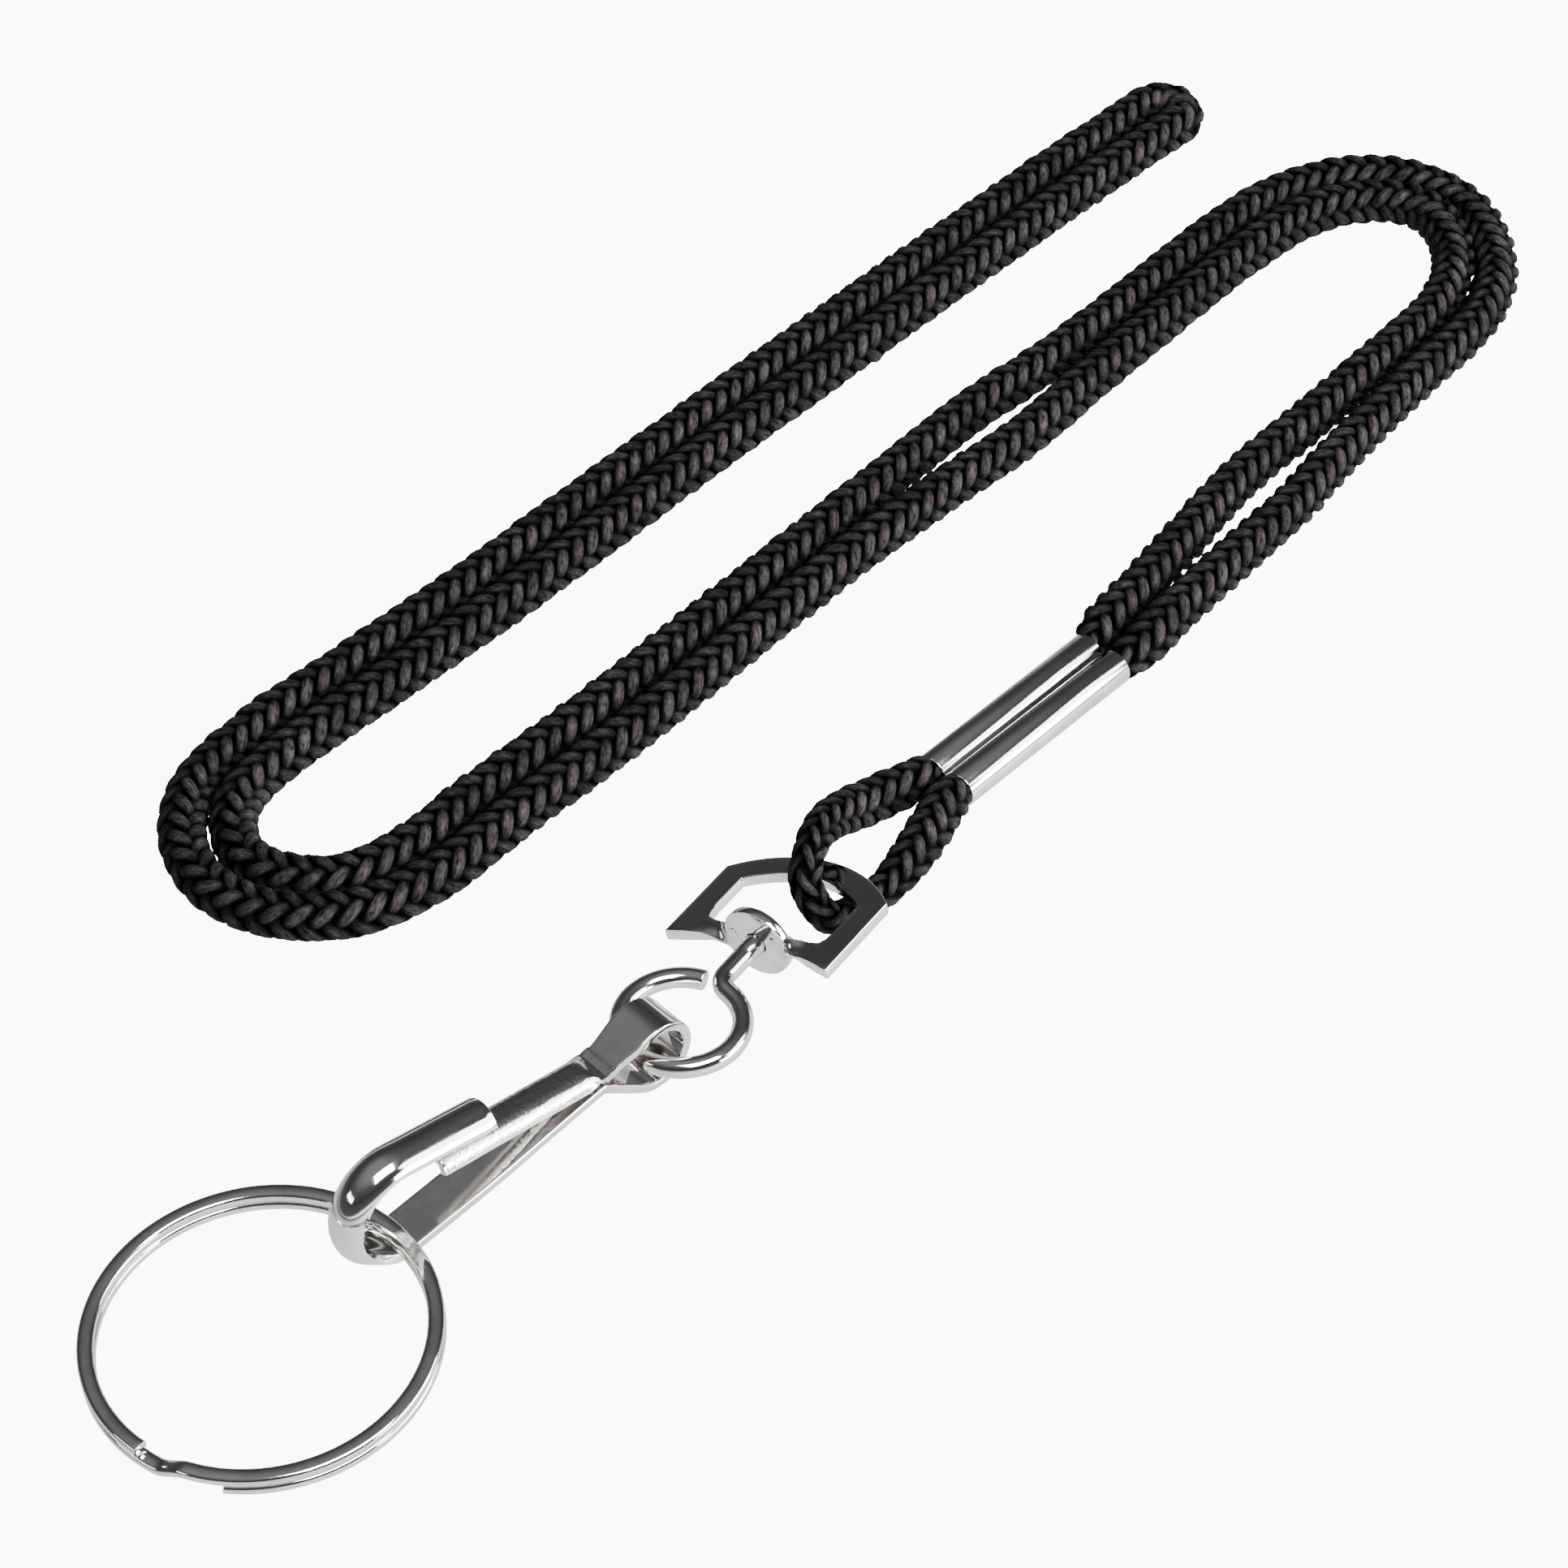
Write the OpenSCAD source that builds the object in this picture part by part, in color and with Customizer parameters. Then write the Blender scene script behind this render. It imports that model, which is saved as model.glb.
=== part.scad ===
// Keyring lanyard lying flat: a doubled round braided neck cord, crimped in a double-barrel ferrule,
// a stamped swivel yoke, an open wire eye, a one-piece strip hook with a sprung gate, and a split ring.
// Origin: middle of the ferrule's underside. +X runs along the ferrule towards the neck cord, +Z is up.

/* [Cord] */
// Diameter of the braided cord
cord_d = 4.1; // [3.6:0.1:4.2]

/* [Ferrule] */
// Length of the ferrule
ferrule_len = 20.4; // [16:0.2:24]
// Outer diameter of each barrel
barrel_d = 3.2; // [2.6:0.1:3.4]
// Wall of each barrel
ferrule_wall = 0.25; // [0.2:0.05:0.4]
// Distance between the barrel axes
barrel_pitch = 3; // [2.4:0.1:3.2]

/* [Yoke] */
// Width over the two arms
yoke_w = 16; // [13:0.5:19.5]
// Length of each straight arm, from its pointed tip to the shoulder
arm_len = 8.8; // [7.6:0.1:11.2]
// Width of the arms and of the cord bar
arm_w = 2.2; // [1.8:0.1:2.6]
// Rise of the arched cord bar above the shoulders
arch_rise = 3.2; // [2.6:0.1:4]
// Sheet thickness
yoke_t = 1; // [0.9:0.05:1.4]
// Diameter of the upright swivel disc
disc_d = 6.2; // [5.2:0.1:7.4]
// Thickness of the swivel disc
disc_t = 0.9; // [0.7:0.05:1.2]

/* [Swivel eye] */
// Wire diameter
wire_d = 1.7; // [1.4:0.05:2]
// Radius of the eye, to the middle of the wire
eye_r = 4.8; // [4.4:0.05:5.8]
// Radius of the neck bend, to the middle of the wire
neck_r = 1.6; // [1.3:0.1:2]
// Diameter of the upset head inside the yoke
head_d = 3; // [2.6:0.1:3.6]
// Thickness of the upset head
head_t = 0.8; // [0.6:0.1:1.2]

/* [Hook] */
// Width of the strip
strip_w = 3.8; // [3:0.1:4.2]
// Thickness of the strip
strip_t = 0.8; // [0.6:0.05:0.9]
// Inner radius of the hook's bend
bend_r = 4; // [3.7:0.1:5]
// Crown of the nose and the gate across their width
crown = 1.3; // [0.9:0.1:1.5]
// Distance from the bend's centre to the pinched neck
leg_len = 20; // [18:0.5:24]
// Inner radius of the loop around the eye
loop_r = 2.45; // [2.2:0.05:2.9]
// Length of the nose past the bend's centre
nose_len = 8.7; // [7:0.1:10]
// Length of the gate from its flexure to its tip
gate_len = 17; // [15.5:0.5:18]

/* [Split ring] */
// Outer diameter
ring_d = 27; // [22.5:0.1:32.4]
// Radial width of the flat wire
ring_w = 1.3; // [1:0.1:1.5]
// Thickness of one turn
turn_t = 0.93; // [0.7:0.05:0.95]

/* [Hidden] */
$fn = 64;

// Clearances
run_gap = 0.06;      // radial, in a running fit
free_gap = 0.3;      // between loosely linked pieces
cord_gap = 0.06;     // cord in its barrel
turn_gap = 0.04;     // between the two turns of the split ring

cord_r = cord_d / 2;
barrel_r = barrel_d / 2;
bore_r = barrel_r - ferrule_wall;
crimp_r = bore_r - cord_gap;
wire_r = wire_d / 2;

// Lay-out of the linked pieces
swivel_pos = [-35, -1.95, disc_d / 2];
yoke_yaw = 8.3;
yoke_roll = -16;
hook_yaw = -4.65;
ring_yaw = 1.5;

// Route of the doubled neck cord: x and y of the line between its strands, and half the strands' pitch
lay = cord_r + 0.02;
NECK_ROUTE = [
    [13.5, 0.2, 2], [19, 0.9, lay], [27, 1.8, 2.45], [36, 2.8, 2.85], [46, 3.7, 2.35], [58, 4.6, lay],
    [68, 5.4, lay], [73.5, 7.4, lay], [77.8, 11, lay], [80.3, 15.5, lay], [80, 20, lay], [77, 24, lay],
    [71.5, 26.6, lay], [63, 27.4, lay], [51, 27, lay], [38, 26.5, 2.3], [28, 26.4, 2.9], [18, 26.4, 2.5],
    [4, 26.2, lay], [-10, 25.6, lay], [-24, 25, lay], [-37, 25, lay], [-46.5, 24.8, lay], [-52.6, 26.4, lay],
    [-56.3, 30.4, lay], [-57.5, 35, lay], [-55.8, 39.6, lay], [-51.6, 43, lay], [-45, 44.2, lay],
    [-33, 44.1, lay], [-19, 44, lay], [-4, 44.4, lay], [12, 44.8, lay], [28, 45, lay], [44, 45.2, lay],
    [60, 45.2, lay], [73, 45, lay]];
// Half pitch and reach of the fold at the far end, as [along, across] in steps round the turn
FOLD = [[1.4, 2.06], [2.7, 1.2], [3, 0], [2.7, -1.2], [1.4, -2.06]];

// Route of the small loop through the yoke: centre of the cord, and its radius as it is squeezed
LOOP_ROUTE = [
    [-12.3, 1.75, 2, 1.92], [-15.6, 2.4, 2.15, 2], [-19, 2.7, 2.95, 1.95], [-22.2, 2.2, 4.3, 1.7],
    [-24.7, 1.2, 5.2, 1.6], [-26.9, 0, 5.45, 1.5], [-28.7, -1.2, 4.8, 1.5], [-29.1, -2.4, 3.5, 1.5],
    [-28.5, -3.6, 2, 1.48], [-26.3, -4.4, 1.6, 1.45], [-23.2, -4.6, 1.65, 1.6], [-19.6, -4.15, 1.95, 1.85],
    [-15.8, -3.1, 2.05, 2], [-12.3, -1.95, 2, 1.92]];

// ---- small helpers ----
function unit(v) = v / norm(v);
function arc(c, r, from, to, n) = [for (i = [0:n]) let (a = from + (to - from) * i / n)
    c + r * [cos(a), sin(a)]];
function side(a) = [-a[1], a[0]];
function heading(p, i) = unit(p[min(i + 1, len(p) - 1)] - p[max(i - 1, 0)]);
function offset_path(p, d) = [for (i = [0:len(p) - 1]) p[i] + d * side(heading(p, i))];
function reversed(p) = [for (i = [len(p) - 1:-1:0]) p[i]];

// A strip of thickness t whose middle follows the path p
module band(p, t) {
    polygon(concat(offset_path(p, t / 2), reversed(offset_path(p, -t / 2))));
}

// A closed tube: p holds [x, y, z, radius] for each ring, with n sides
module tube(p, n) {
    last = len(p) - 1;
    pos = [for (q = p) [q[0], q[1], q[2]]];
    rings = [for (i = [0:last]) let (t = heading(pos, i), a = unit(cross([0, 0, 1], t)), b = cross(t, a))
        for (k = [0:n - 1]) let (g = 360 * (k + 0.5) / n) pos[i] + p[i][3] * (a * cos(g) + b * sin(g))];
    skin = [for (i = [0:last - 1]) for (k = [0:n - 1])
        [i * n + k, i * n + (k + 1) % n, (i + 1) * n + (k + 1) % n, (i + 1) * n + k]];
    polyhedron(points = rings, convexity = 10,
        faces = concat([[for (k = [n - 1:-1:0]) k]], skin, [[for (k = [0:n - 1]) last * n + k]]));
}

// A channel section, crowned outwards: flanges on v = 0, crown at v = crown
module channel_section(w) {
    r = (pow(w / 2, 2) + crown * crown) / (2 * crown);
    difference() {
        translate([0, crown - r]) circle(r);
        translate([0, crown - r]) circle(r - strip_t);
        translate([-2 * r, -4 * r]) square([4 * r, 4 * r]);
    }
}

// ---- ferrule and cords ----
module ferrule() {
    color("silver") translate([-ferrule_len / 2, 0, barrel_r]) rotate([90, 0, 90])
        linear_extrude(ferrule_len) difference() {
            union() {
                for (s = [-1, 1]) translate([s * barrel_pitch / 2, 0]) circle(barrel_r);
                translate([-barrel_pitch / 2, -barrel_r]) square([barrel_pitch, barrel_r + 0.65]);
            }
            for (s = [-1, 1]) translate([s * barrel_pitch / 2, 0]) circle(bore_r);
        }
}

neck_z = cord_r + 0.02;
neck_xy = [for (q = NECK_ROUTE) [q[0], q[1]]];
function strand(s) = [for (i = [0:len(NECK_ROUTE) - 1])
    let (q = neck_xy[i] + s * NECK_ROUTE[i][2] * side(heading(neck_xy, i))) [q[0], q[1], neck_z, cord_r]];
function crimped(x_in, x_out, s) = [
    [x_in, s * barrel_pitch / 2, barrel_r, crimp_r], [x_out, s * barrel_pitch / 2, barrel_r, crimp_r]];
mouth = ferrule_len / 2 + 0.1;
far = neck_xy[len(neck_xy) - 1];

module neck_cord() {
    color([0.06, 0.06, 0.06]) tube(concat(crimped(0.05, mouth, 1), strand(1),
        [for (f = FOLD) [far[0] + f[0], far[1] + f[1], neck_z, cord_r]],
        reversed(strand(-1)), reversed(crimped(0.05, mouth, -1))), 8);
}

module loop_cord() {
    color([0.06, 0.06, 0.06]) tube(concat(crimped(-0.05, -mouth, 1), LOOP_ROUTE,
        reversed(crimped(-0.05, -mouth, -1))), 8);
}

// ---- yoke ----
tip_x = -1.9;
shoulder_x = tip_x + arm_len;
arch_r = (pow(yoke_w / 2, 2) + arch_rise * arch_rise) / (2 * arch_rise);
arch_half = asin(yoke_w / 2 / arch_r);
window_w = yoke_w - 2 * arm_w;
inner_r = arch_r - arm_w;
inner_half = asin(window_w / 2 / inner_r);
arch_c = [shoulder_x + arch_rise - arch_r, 0];
disc_r = disc_d / 2;
foot_w = 1.3;        // width of the foot bars beside the disc
bar_x = shoulder_x + arch_rise - arm_w / 2;
hole_r = wire_r + run_gap;

module in_yoke() {
    translate(swivel_pos) rotate([0, 0, yoke_yaw]) rotate([yoke_roll, 0, 0]) children();
}

module yoke() {
    color("silver") in_yoke() difference() {
        union() {
            translate([0, 0, -yoke_t / 2]) linear_extrude(yoke_t) difference() {
                polygon(concat([[tip_x, -yoke_w / 2]], arc(arch_c, arch_r, -arch_half, arch_half, 16),
                    [[tip_x, yoke_w / 2], [-disc_t / 2, disc_r - 0.4], [-disc_t / 2, 0.4 - disc_r]]));
                polygon(concat([[foot_w - disc_t / 2, 0.9 - disc_r], [foot_w - disc_t / 2, -window_w / 2 + 1.2],
                    [foot_w + 1, -window_w / 2]], arc(arch_c, inner_r, -inner_half, inner_half, 12),
                    [[foot_w + 1, window_w / 2], [foot_w - disc_t / 2, window_w / 2 - 1.2],
                    [foot_w - disc_t / 2, disc_r - 0.9]]));
                translate([0, 0.6 - disc_r]) square([foot_w * 2, 2 * disc_r - 1.2]);
            }
            rotate([0, 90, 0]) cylinder(r = disc_r, h = disc_t, center = true);
        }
        rotate([0, 90, 0]) cylinder(r = hole_r, h = 4 * disc_t, center = true);
    }
}

// ---- swivel eye: stem along the yoke's axis, neck bend, then the open eye ----
neck_turn = acos(neck_r / (neck_r + eye_r));
eye_x = -10.65;
stem_end = eye_x + (neck_r + eye_r) * sin(neck_turn);
eye_start = neck_turn - 90;      // angle on the eye where the neck bend runs into it
eye_end = 12;                    // angle on the eye of its cut end
head_x = disc_t / 2 + run_gap;
blend = 0.02;                    // the short collar that joins the two bends

module wire_arc(r, from, to) {
    rotate([0, 0, from]) rotate_extrude(angle = to - from) translate([r, 0]) circle(wire_r);
}

module swivel_eye() {
    color("silver") translate(swivel_pos) rotate([0, 0, yoke_yaw]) union() {
        translate([stem_end, 0, 0]) rotate([0, 90, 0]) cylinder(r = wire_r, h = head_x + head_t / 2 - stem_end);
        translate([head_x, 0, 0]) rotate([0, 90, 0]) cylinder(r = head_d / 2, h = head_t);
        translate([stem_end, -neck_r, 0]) wire_arc(neck_r, 90, 90 + neck_turn);
        translate([eye_x, 0, 0]) wire_arc(eye_r, eye_end, 360 + eye_start);
        translate([eye_x, 0, 0]) rotate([0, 0, eye_start]) translate([eye_r, 0, 0]) rotate([90, 0, 0])
            cylinder(r = wire_r + blend, h = 0.6, center = true);
    }
}

// ---- hook, in its own upright plane: x along the hook from the bend's centre, y up ----
mid_r = bend_r + strip_t / 2;
bend_c = [0, bend_r + strip_t];
leg_rise = 8.3;
edge_step = 0.06;     // the flat strip sits this far inside the crowned channel that it runs into
nose_drop = 8.4;
loop_mid = loop_r + strip_t / 2;
loop_c = [leg_len + 5.3, loop_r + strip_t];
neck_y = bend_c[1] - mid_r / cos(leg_rise) + leg_len * tan(leg_rise);
neck_p = [leg_len, neck_y];
hinge_p = [leg_len + 1, neck_y + strip_t + free_gap + 0.15];
hinge_r = strip_t / 2;
function tangent_angle(p, up) = let (d = loop_c - p)
    atan2(d[1], d[0]) + up * (180 - acos(loop_mid / norm(d)));
wire_at = [loop_c[0] - 1, loop_c[1]];       // where the eye's wire runs through the loop
eye_pos = swivel_pos + eye_x * [cos(yoke_yaw), sin(yoke_yaw), 0];
hook_dir = [cos(hook_yaw), sin(hook_yaw), 0];
hook_pos = [eye_pos[0], eye_pos[1], 0] - eye_r * [cos(yoke_yaw - 14), sin(yoke_yaw - 14), 0]
    - wire_at[0] * hook_dir;

module in_hook() { translate(hook_pos) rotate([0, 0, hook_yaw]) children(); }
module across(w) { translate([0, w / 2, 0]) rotate([90, 0, 0]) linear_extrude(w) children(); }

module hook_body() {
    top = tangent_angle(hinge_p, 1);
    low = tangent_angle(neck_p, -1);
    leg_at = -90 + leg_rise;
    color("silver") in_hook() {
        difference() {
            across(strip_w - 2 * edge_step) band(concat([hinge_p], arc(loop_c, loop_mid, top, low, 24), [neck_p],
                arc(bend_c, mid_r - edge_step, leg_at, -140, 8)), strip_t);
            translate([hinge_p[0], 0, hinge_p[1]]) rotate([90, 0, 0])
                cylinder(r = hinge_r + run_gap, h = 2 * strip_w, center = true);
        }
        translate([0, 0, bend_c[1]]) rotate([90, 0, 0]) rotate([0, 0, 90 - nose_drop])
            rotate_extrude(angle = 141 + nose_drop) translate([bend_r, 0]) rotate(-90) channel_section(strip_w);
        translate([0, 0, bend_c[1]]) rotate([0, nose_drop, 0]) translate([0, 0, bend_r])
            rotate([90, 0, 90]) linear_extrude(nose_len) channel_section(strip_w);
    }
}

gate_tip = [4, 6];
gate_rise = atan2(gate_tip[1] - hinge_p[1] + 0.4, hinge_p[0] - gate_tip[0]);

module spring_gate() {
    color("silver") in_hook() translate([hinge_p[0], 0, hinge_p[1]]) rotate([0, 180 + gate_rise, 0]) mirror([0, 0, 1]) {
        rotate([90, 0, 0]) cylinder(r = hinge_r, h = strip_w, center = true);
        translate([0, -strip_w / 2, -hinge_r]) cube([1.2, strip_w, strip_t]);
        translate([0.7, 0, -hinge_r]) rotate([90, 0, 90]) linear_extrude(gate_len - 0.7)
            channel_section(strip_w - 0.2);
    }
}

// ---- split ring: two turns of flat wire joined where the wire steps from one to the other ----
mean_r = ring_d / 2 - ring_w / 2;
ring_h = 2 * turn_t + turn_gap;
link_x = -0.7;
link_z = strip_t + norm([ring_w, ring_h]) / 2 + free_gap + 0.25;
ring_tilt = asin((link_z - ring_h / 2) / (2 * mean_r));
link_pos = hook_pos + link_x * hook_dir + [0, 0, link_z];
step_at = 191;
step_span = 8;       // the wire's joggle from one turn to the other
upper_stop = 352;    // cut end of the upper turn
lower_start = 22;    // cut end of the lower turn

module turn_arc(from, to, z, h, inset) {
    rotate([0, 0, from]) rotate_extrude(angle = to - from) translate([ring_d / 2 - ring_w + inset, z + inset])
        square([ring_w - 2 * inset, h - 2 * inset]);
}

module split_ring() {
    color("silver") translate(link_pos) rotate([0, 0, ring_yaw]) rotate([0, -ring_tilt, 0])
        translate([-mean_r, 0, 0]) rotate([0, 0, step_at]) {
            turn_arc(0, upper_stop, turn_gap / 2, turn_t, 0);
            turn_arc(lower_start, 360 + step_span, -ring_h / 2, turn_t, 0);
            turn_arc(1, step_span - 1, -ring_h / 2, ring_h, edge_step);
        }
}

ferrule();
neck_cord();
loop_cord();
yoke();
swivel_eye();
hook_body();
spring_gate();
split_ring();
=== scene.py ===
# Key lanyard: braided neck cord, crimped ferrule, swivel yoke, wire eye, strip hook and split ring.
import math

import bmesh
import bpy
import numpy as np
from mathutils import Matrix, Vector


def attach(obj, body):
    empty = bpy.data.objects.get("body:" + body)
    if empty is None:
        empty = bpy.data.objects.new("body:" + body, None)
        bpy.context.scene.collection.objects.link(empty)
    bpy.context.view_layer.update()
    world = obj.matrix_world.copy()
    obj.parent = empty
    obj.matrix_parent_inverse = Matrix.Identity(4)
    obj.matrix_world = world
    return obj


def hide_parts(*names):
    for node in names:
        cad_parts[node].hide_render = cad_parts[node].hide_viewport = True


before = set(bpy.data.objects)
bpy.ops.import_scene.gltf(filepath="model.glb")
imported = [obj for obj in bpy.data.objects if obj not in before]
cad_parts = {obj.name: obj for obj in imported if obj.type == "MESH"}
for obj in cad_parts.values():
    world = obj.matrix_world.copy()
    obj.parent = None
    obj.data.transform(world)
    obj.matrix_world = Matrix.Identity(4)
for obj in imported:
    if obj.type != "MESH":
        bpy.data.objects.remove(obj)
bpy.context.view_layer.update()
mm = 0.001
print("frame loaded")

# Lens and sensor in mm, and places in mm from the middle of the ferrule.
cameraSet = {"lens": 104.35, "sensor": 36.0, "place": (-218.5, -171.6, 261.6), "target": (-18.1, 10.7, 0.0)}


def makeCamera(values):
    data = bpy.data.cameras.new("viewCamera")
    data.lens = values["lens"]
    data.sensor_width = values["sensor"]
    data.clip_start = 0.01
    camera = bpy.data.objects.new("viewCamera", data)
    place, target = Vector(values["place"]) * mm, Vector(values["target"]) * mm
    camera.location = place
    camera.rotation_euler = (target - place).to_track_quat("-Z", "Y").to_euler()
    bpy.context.scene.collection.objects.link(camera)
    bpy.context.scene.camera = camera


makeCamera(cameraSet)


# From 0 below low to 1 above high, with a soft start and end.
def blendStep(low, high, value):
    t = min(1.0, max(0.0, (value - low) / (high - low)))
    return t * t * (3 - 2 * t)


def smoothShade(mesh, angle):
    for face in mesh.polygons:
        face.use_smooth = True
    mesh.set_sharp_from_angle(angle=math.radians(angle))


# The work in mm becomes an object in metres, riding on its body, and the CAD part that it stands in for, if
# any, is hidden.
def finishPiece(name, bm, place, material, body, node, sharp=35.0):
    bmesh.ops.transform(bm, matrix=Matrix.Diagonal((mm, mm, mm, 1)) @ place, verts=bm.verts)
    bmesh.ops.recalc_face_normals(bm, faces=bm.faces)
    mesh = bpy.data.meshes.new(name)
    bm.to_mesh(mesh)
    bm.free()
    piece = bpy.data.objects.new(name, mesh)
    bpy.context.scene.collection.objects.link(piece)
    smoothShade(mesh, sharp)
    mesh.materials.append(material)
    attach(piece, body)
    if node:
        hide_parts(node)
    return piece


# Vertices and edges of a closed outline.
def addOutline(bm, points):
    verts = [bm.verts.new(point) for point in points]
    edges = [bm.edges.new((verts[k], verts[(k + 1) % len(verts)])) for k in range(len(verts))]
    return verts, edges


def onlyKinds(geom, *kinds):
    return [item for item in geom if isinstance(item, kinds)]


def addBevel(piece, width, segments, angle):
    mod = piece.modifiers.new("edgeRounding", "BEVEL")
    mod.width = width * mm
    mod.segments = segments
    mod.limit_method = "ANGLE"
    mod.angle_limit = math.radians(angle)
    mod.harden_normals = False
    mod.use_clamp_overlap = True


def addWall(piece, thickness, offset):
    mod = piece.modifiers.new("sheetThickness", "SOLIDIFY")
    mod.thickness = thickness * mm
    mod.offset = offset
    mod.use_even_offset = True
    mod.use_quality_normals = True


def newGroup(name, inputs, outputs):
    group = bpy.data.node_groups.new(name, "ShaderNodeTree")
    for label, kind, start in inputs:
        socket = group.interface.new_socket(name=label, in_out="INPUT", socket_type=kind)
        socket.default_value = start
    for label, kind in outputs:
        group.interface.new_socket(name=label, in_out="OUTPUT", socket_type=kind)
    entry = group.nodes.new("NodeGroupInput")
    result = group.nodes.new("NodeGroupOutput")
    return group, entry, result


def addNode(tree, kind, values=None, **settings):
    node = tree.nodes.new(kind)
    for key, value in settings.items():
        setattr(node, key, value)
    for key, value in (values or {}).items():
        node.inputs[key].default_value = value
    return node


# Fine grain, soft smears and tiny scratches of a polished plating.
def makePlatingGroup():
    group, entry, result = newGroup(
        "platedSurface",
        [("Bright", "NodeSocketColor", (0.8, 0.79, 0.77, 1)),
         ("Dull", "NodeSocketColor", (0.6, 0.58, 0.55, 1)),
         ("Smear Scale", "NodeSocketFloat", 260.0), ("Grain Scale", "NodeSocketFloat", 5200.0),
         ("Polish", "NodeSocketFloat", 0.09), ("Dullness", "NodeSocketFloat", 0.14),
         ("Ripple", "NodeSocketFloat", 0.02), ("Grain", "NodeSocketFloat", 0.01)],
        [("Color", "NodeSocketColor"), ("Roughness", "NodeSocketFloat"), ("Normal", "NodeSocketVector")])
    link = group.links.new
    place = addNode(group, "ShaderNodeTexCoord")
    smear = addNode(group, "ShaderNodeTexNoise", {"Detail": 4.0, "Roughness": 0.6})
    grain = addNode(group, "ShaderNodeTexNoise", {"Detail": 2.0, "Roughness": 0.7})
    link(place.outputs["Object"], smear.inputs["Vector"])
    link(place.outputs["Object"], grain.inputs["Vector"])
    link(entry.outputs["Smear Scale"], smear.inputs["Scale"])
    link(entry.outputs["Grain Scale"], grain.inputs["Scale"])
    spread = addNode(group, "ShaderNodeMapRange", {"From Min": 0.42, "From Max": 0.72})
    link(smear.outputs["Fac"], spread.inputs["Value"])
    tint = addNode(group, "ShaderNodeMix", data_type="RGBA")
    link(spread.outputs["Result"], tint.inputs["Factor"])
    link(entry.outputs["Bright"], tint.inputs[6])
    link(entry.outputs["Dull"], tint.inputs[7])
    link(tint.outputs[2], result.inputs["Color"])
    rough = addNode(group, "ShaderNodeMapRange")
    link(spread.outputs["Result"], rough.inputs["Value"])
    link(entry.outputs["Polish"], rough.inputs["To Min"])
    link(entry.outputs["Dullness"], rough.inputs["To Max"])
    link(rough.outputs["Result"], result.inputs["Roughness"])
    ripple = addNode(group, "ShaderNodeBump", {"Distance": 0.0002})
    link(entry.outputs["Ripple"], ripple.inputs["Strength"])
    link(smear.outputs["Fac"], ripple.inputs["Height"])
    fine = addNode(group, "ShaderNodeBump", {"Distance": 0.00005})
    link(entry.outputs["Grain"], fine.inputs["Strength"])
    link(grain.outputs["Fac"], fine.inputs["Height"])
    link(ripple.outputs["Normal"], fine.inputs["Normal"])
    link(fine.outputs["Normal"], result.inputs["Normal"])
    return group


platingGroup = makePlatingGroup()


def makeNickel(name, values):
    material = bpy.data.materials.new(name)
    material.use_nodes = True
    tree = material.node_tree
    shader = tree.nodes["Principled BSDF"]
    shader.inputs["Metallic"].default_value = 1.0
    coat = addNode(tree, "ShaderNodeGroup", node_tree=platingGroup)
    for key, value in values.items():
        coat.inputs[key].default_value = value
    for key in ("Roughness", "Normal"):
        tree.links.new(coat.outputs[key], shader.inputs[key])
    tree.links.new(coat.outputs["Color"], shader.inputs["Base Color"])
    return material


nickelSets = {
    "ferruleNickel": {"Polish": 0.07, "Dullness": 0.13, "Ripple": 0.03},
    "yokeNickel": {"Polish": 0.08, "Dullness": 0.16, "Ripple": 0.05},
    "wireNickel": {"Polish": 0.07, "Dullness": 0.14, "Ripple": 0.06},
    "hookNickel": {"Polish": 0.07, "Dullness": 0.15, "Ripple": 0.05},
    "gateNickel": {"Polish": 0.1, "Dullness": 0.2, "Ripple": 0.05, "Grain": 0.8, "Grain Scale": 2600.0},
    "ringNickel": {"Polish": 0.06, "Dullness": 0.12, "Ripple": 0.05},
}
nickel = {name: makeNickel(name, values) for name, values in nickelSets.items()}
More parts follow.
